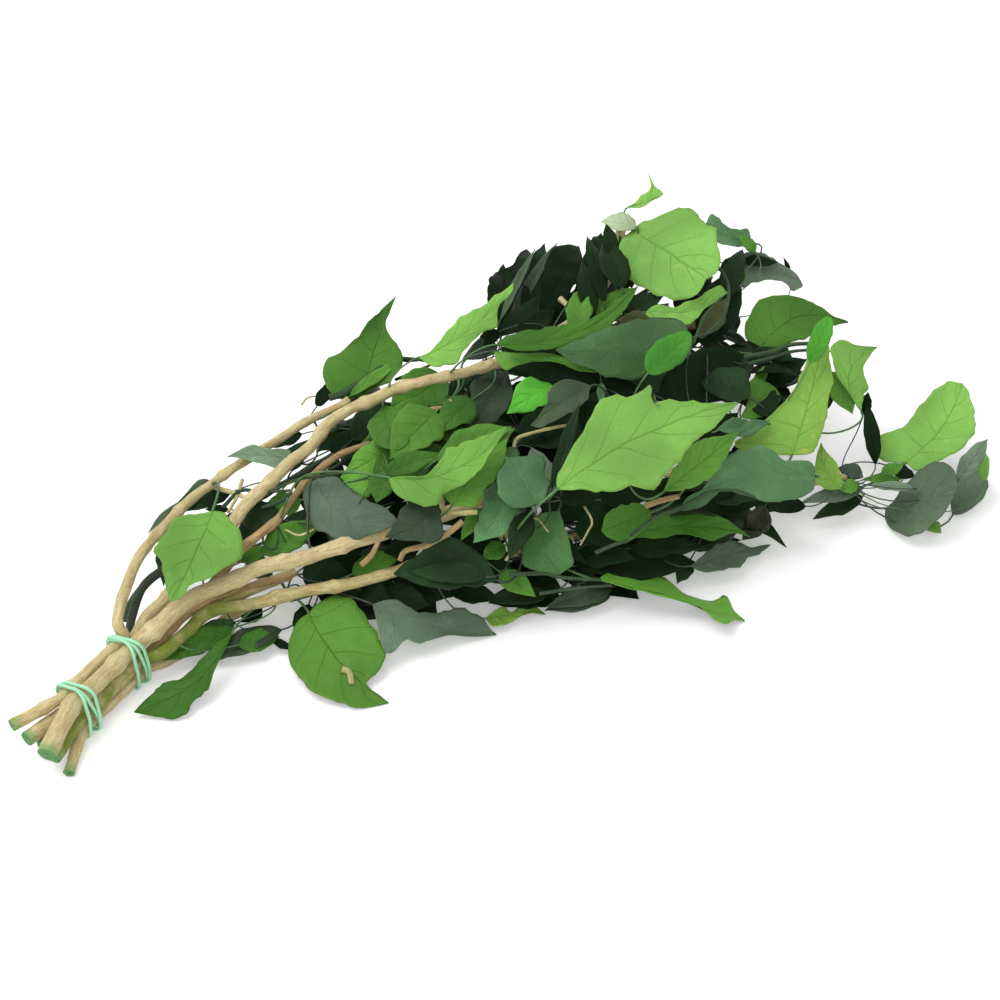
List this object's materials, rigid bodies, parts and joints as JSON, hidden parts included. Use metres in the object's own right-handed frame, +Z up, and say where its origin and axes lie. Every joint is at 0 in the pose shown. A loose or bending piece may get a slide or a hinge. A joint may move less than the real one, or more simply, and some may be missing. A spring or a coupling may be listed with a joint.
{
  "type": "preserved ivy bunch",
  "caption": "Bunch of preserved ivy branches lying down: cut woody stems held together by two rubber ties, with pointed green leaves on curved stalks, for dried arrangements.",
  "frame": {"origin": "centre of the bounding box at the height of the surface that the bunch lies on", "axes": "+X along the bunch, from the tied cut ends at -X to the outermost leaves; +Z up; +Y to the left of someone looking along +X"},
  "size_m": [0.5292, 0.2889, 0.1169],
  "materials": {
    "bark_tan": "matte bark, pinkish tan to olive brown, with fine ridges and raised pores",
    "bark_green": "matte mossy olive-green bark",
    "bark_dark": "dark grey-green young bark, slightly waxy",
    "leaf_pale": "satin, pale yellow-green underside of a dyed leaf with fine veins",
    "leaf_fresh": "satin, bright mid-green dyed leaf with fine veins",
    "leaf_dark": "glossy blackish-green upper side of a dyed leaf with pale veins",
    "leaf_teal": "satin grey-green dyed leaf with a bluish sheen",
    "tie_rubber": "smooth mint-green rubber band"
  },
  "bodies": {
    "root": {"stem_arched": "bark_tan", "stem_rear": "bark_tan", "stem_front": "bark_tan", "stem_mossy": "bark_green", "stem_kinked": "bark_tan", "stem_low": "bark_tan", "stem_dark": "bark_dark", "rubber_tie_end": "tie_rubber", "rubber_tie_neck": "tie_rubber", "leaf_01": "leaf_pale", "leaf_02": "leaf_pale", "leaf_03": "leaf_teal", "leaf_04": "leaf_teal", "leaf_05": "leaf_dark", "leaf_06": "leaf_dark", "leaf_07": "leaf_dark", "leaf_08": "leaf_pale", "leaf_09": "leaf_dark", "leaf_10": "leaf_pale", "leaf_11": "leaf_fresh", "leaf_12": "leaf_teal", "leaf_13": "leaf_pale", "leaf_14": "leaf_fresh", "leaf_15": "leaf_fresh", "leaf_16": "leaf_pale", "leaf_17": "leaf_fresh", "leaf_18": "leaf_dark", "leaf_19": "leaf_dark", "leaf_20": "leaf_pale", "leaf_21": "leaf_fresh", "leaf_22": "leaf_pale", "leaf_23": "leaf_pale", "leaf_24": "leaf_fresh", "leaf_25": "leaf_fresh", "leaf_26": "leaf_pale", "leaf_27": "leaf_pale", "leaf_28": "leaf_teal", "leaf_29": "leaf_teal", "leaf_30": "leaf_teal", "leaf_31": "leaf_teal", "leaf_32": "leaf_pale", "leaf_33": "leaf_teal", "leaf_34": "leaf_teal", "leaf_35": "leaf_fresh", "leaf_36": "leaf_fresh", "leaf_37": "leaf_dark", "leaf_38": "leaf_teal", "leaf_39": "leaf_fresh", "leaf_40": "leaf_fresh", "leaf_41": "leaf_dark", "leaf_42": "leaf_fresh", "leaf_43": "leaf_dark", "leaf_44": "leaf_dark", "leaf_45": "leaf_dark", "leaf_46": "leaf_pale", "leaf_47": "leaf_teal", "leaf_48": "leaf_teal", "leaf_49": "leaf_dark", "leaf_50": "leaf_dark", "leaf_51": "leaf_dark"}
  },
  "joints": []
}
